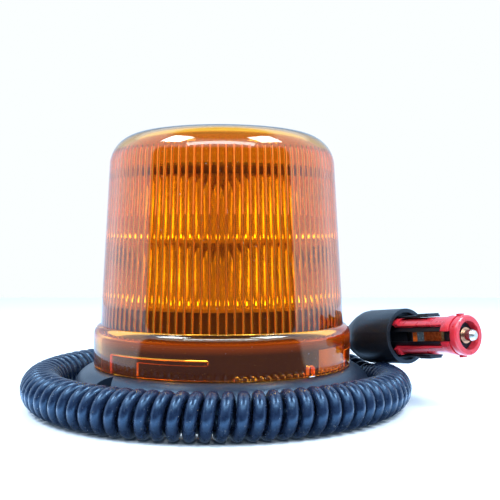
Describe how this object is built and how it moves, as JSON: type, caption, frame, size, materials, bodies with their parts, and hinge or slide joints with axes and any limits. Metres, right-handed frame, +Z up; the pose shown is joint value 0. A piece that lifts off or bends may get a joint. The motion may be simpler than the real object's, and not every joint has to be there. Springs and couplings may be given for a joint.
{
  "type": "magnetic warning beacon",
  "caption": "Amber warning beacon with a fluted dome on a black magnetic base, a coiled cord round it and a universal 12 V plug with a red adapter",
  "frame": {"origin": "on the beacon axis at the plane it stands on", "axes": "+Z up along the beacon axis, -Y the front, +X the side the plug lies on"},
  "size_m": [0.24, 0.2025, 0.1431],
  "materials": {
    "amber_lens": "clear amber polycarbonate, polished, fluted inside",
    "black_housing": "black ABS, fine spark-eroded texture",
    "black_cord": "black polyurethane cord jacket, satin",
    "black_rubber": "black rubber",
    "plug_black": "black nylon, satin",
    "red_adapter": "red nylon, moulded",
    "nickel": "nickel-plated brass",
    "brass": "brass",
    "copper": "copper, tinned in places",
    "spring_steel": "spring steel",
    "screw_steel": "zinc-plated steel",
    "zinc_plate": "zinc-plated sheet",
    "magnet": "sintered magnet, nickel skin",
    "reflector": "metallised plastic, mirror bright",
    "led_board": "white solder mask on an aluminium core",
    "led_package": "white LED package",
    "phosphor": "yellow phosphor under silicone",
    "green_board": "green solder mask",
    "capacitor": "sleeved electrolytic capacitor",
    "ferrite": "ferrite with enamelled winding",
    "chip": "epoxy package",
    "terminal": "moulded terminal block",
    "label": "blank printed film",
    "wire": "PVC-insulated wire"
  },
  "bodies": {
    "base": {"lens_seal": "black_rubber", "base_housing": "black_housing", "base_plate": "zinc_plate", "base_screws": "screw_steel", "magnet_cups": "zinc_plate", "magnets": "magnet", "magnet_screws": "screw_steel", "magnet_nuts": "screw_steel", "magnet_pad": "black_rubber", "pedestal": "black_housing", "pedestal_screws": "screw_steel", "led_board_lower": "led_board", "led_board_upper": "led_board", "led_packages": "led_package", "led_domes": "phosphor", "reflector_lower": "reflector", "reflector_upper": "reflector", "core_post": "screw_steel", "column_nuts": "screw_steel", "top_plate": "black_housing", "driver_board": "green_board", "board_screws": "screw_steel", "driver_capacitors": "capacitor", "driver_inductor": "ferrite", "driver_chips": "chip", "supply_terminal": "terminal", "led_wires": "wire", "supply_wires": "wire", "cable_grommet": "black_rubber", "coiled_cord": "black_cord", "rating_labels": "label"},
    "lens": {"lens": "amber_lens"},
    "catch": {"lens_catch": "black_housing", "catch_spring": "spring_steel"},
    "plug": {"plug_lead": "black_cord", "plug_housing": "plug_black", "plug_tail_sleeve": "black_rubber", "plug_core": "plug_black", "contact_bush": "copper", "plug_wires": "wire"},
    "adapter": {"adapter_sleeve": "red_adapter"},
    "tip": {"centre_contact": "nickel", "contact_spring": "spring_steel"},
    "contact_near": {"side_contact_near": "brass"},
    "contact_far": {"side_contact_far": "brass"}
  },
  "joints": [
    {"name": "lens_turn", "type": "hinge", "parent": "base", "child": "lens", "pos_m": [0, 0, 0.03], "axis": [0, 0, 1], "range_deg": [0, 32]},
    {"name": "catch_press", "type": "slide", "parent": "base", "child": "catch", "axis": [-0.6494, 0.7604, 0], "range_m": [0, 0.0015]},
    {"name": "plug_swing", "type": "hinge", "parent": "base", "child": "plug", "pos_m": [0.03982, 0.09178, 0.0103], "axis": [0, 0, 1], "range_deg": [0, 25]},
    {"name": "adapter_pull", "type": "slide", "parent": "plug", "child": "adapter", "axis": [0.5564, -0.8249, 0.1003], "range_m": [0, 0.046]},
    {"name": "tip_press", "type": "slide", "parent": "plug", "child": "tip", "axis": [-0.5564, 0.8249, -0.1003], "range_m": [0, 0.0025]},
    {"name": "side_contact_near_flex", "type": "hinge", "parent": "plug", "child": "contact_near", "pos_m": [0.11432, -0.01724, 0.03655], "axis": [0.0561, -0.0831, -0.995], "range_deg": [0, 3]},
    {"name": "side_contact_far_flex", "type": "hinge", "parent": "plug", "child": "contact_far", "pos_m": [0.12593, -0.00941, 0.03655], "axis": [-0.0561, 0.0831, 0.995], "range_deg": [0, 3]}
  ]
}
